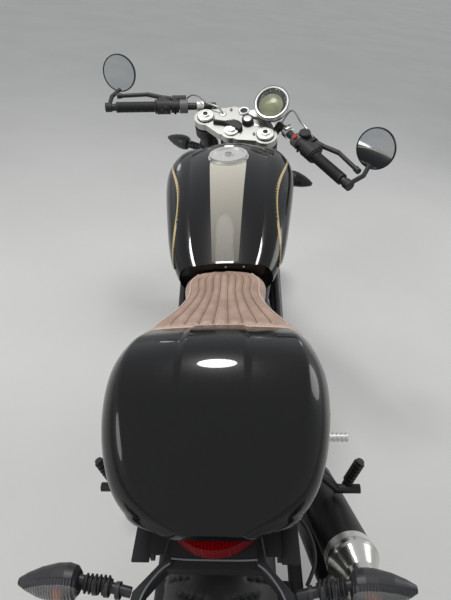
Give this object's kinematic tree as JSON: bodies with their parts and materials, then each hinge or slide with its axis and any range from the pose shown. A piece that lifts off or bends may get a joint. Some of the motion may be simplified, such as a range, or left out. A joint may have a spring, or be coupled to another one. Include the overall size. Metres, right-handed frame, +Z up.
{
  "type": "scrambler motorcycle in cafe style",
  "caption": "Scrambler motorcycle in cafe style, leaning on its side stand: teardrop tank, ribbed seat with a cowl, low swept bars, open twin engine, tubular frame.",
  "frame": {"origin": "on the floor at the middle of the bounding box, with the machine leaning left on its side stand and its fork turned right", "axes": "+X to the rider's right, +Y forward along the machine, +Z up"},
  "size_m": [0.8825, 2.0251, 1.0207],
  "materials": {
    "black_frame": "satin",
    "black_casting": "satin",
    "cylinder_black": "satin, machined fin edges",
    "grey_cover": "satin",
    "black_plastic": "matte",
    "cooler": "matte",
    "gloss_black": "gloss",
    "bright_aluminium": "satin",
    "dark_exhaust": "satin heat paint",
    "machined_aluminium": "machined",
    "brown_leather": "soft grain",
    "steel": "brushed",
    "chain_steel": "oiled",
    "tyre_rubber": "matte",
    "grip_rubber": "matte",
    "red_lens": "clear red",
    "clear_lens": "clear, fluted",
    "lamp_glass": "clear",
    "mirror": "polished",
    "instrument_shell": "gloss",
    "stanchion_black": "anodised"
  },
  "bodies": {
    "chassis": {"frame": "black_frame", "swingarm": "black_casting", "crankcase": "black_casting", "cylinders": "cylinder_black", "engine_covers": "grey_cover", "battery_box": "black_plastic", "airbox": "black_plastic", "oil_cooler": "cooler", "rear_shock": "steel", "exhaust_headers": "dark_exhaust", "silencers": "dark_exhaust", "silencer_caps": "machined_aluminium", "fuel_tank": "gloss_black", "tank_panels": "gloss_black", "filler_ring": "bright_aluminium", "seat": "brown_leather", "seat_cowl": "gloss_black", "chain": "chain_steel", "rear_caliper": "black_casting", "rear_fender": "black_plastic", "tail_light": "red_lens", "indicators_rear": "black_plastic", "indicator_lenses_rear": "clear_lens", "rider_footrests": "bright_aluminium", "passenger_footrests": "black_casting"},
    "steering": {"top_yoke": "bright_aluminium", "bottom_yoke": "black_casting", "fork_tubes": "stanchion_black", "fork_legs": "stanchion_black", "yoke_nuts": "bright_aluminium", "clip_ons": "black_casting", "grips": "grip_rubber", "bar_controls": "black_plastic", "levers": "black_casting", "mirrors": "black_casting", "mirror_glass": "mirror", "instrument": "instrument_shell", "headlight": "black_casting", "headlight_lens": "lamp_glass", "headlight_brackets": "black_casting", "indicators_front": "black_plastic", "indicator_lenses_front": "clear_lens", "front_fender": "black_plastic", "front_caliper": "black_casting"},
    "front_wheel": {"front_tyre": "tyre_rubber", "front_rim": "black_casting", "front_disc": "steel"},
    "rear_wheel": {"rear_tyre": "tyre_rubber", "rear_rim": "black_casting", "rear_disc": "steel", "rear_sprocket": "steel"},
    "side_stand": {"side_stand": "black_casting"},
    "filler_cap": {"filler_cap": "bright_aluminium"}
  },
  "joints": [
    {"name": "steering", "type": "hinge", "parent": "chassis", "child": "steering", "pos_m": [0.01596, 0.51674, 0.77867], "axis": [-0.1612, -0.3714, 0.9144], "range_deg": [-3, 57]},
    {"name": "front_wheel", "type": "hinge", "parent": "steering", "child": "front_wheel", "pos_m": [0.11147, 0.73505, 0.29999], "axis": [0.9067, -0.4215, -0.0113], "continuous": true},
    {"name": "rear_wheel", "type": "hinge", "parent": "chassis", "child": "rear_wheel", "pos_m": [0.0983, -0.6976, 0.31166], "axis": [0.9848, 0, 0.1736], "continuous": true},
    {"name": "side_stand", "type": "hinge", "parent": "chassis", "child": "side_stand", "pos_m": [-0.00882, -0.0616, 0.21661], "axis": [-0.8996, 0.0198, 0.4362], "range_deg": [0, 92]},
    {"name": "filler_cap", "type": "hinge", "parent": "chassis", "child": "filler_cap", "pos_m": [-0.0071, 0.2864, 0.90944], "axis": [-0.9848, 0, -0.1736], "range_deg": [0, 95]}
  ]
}
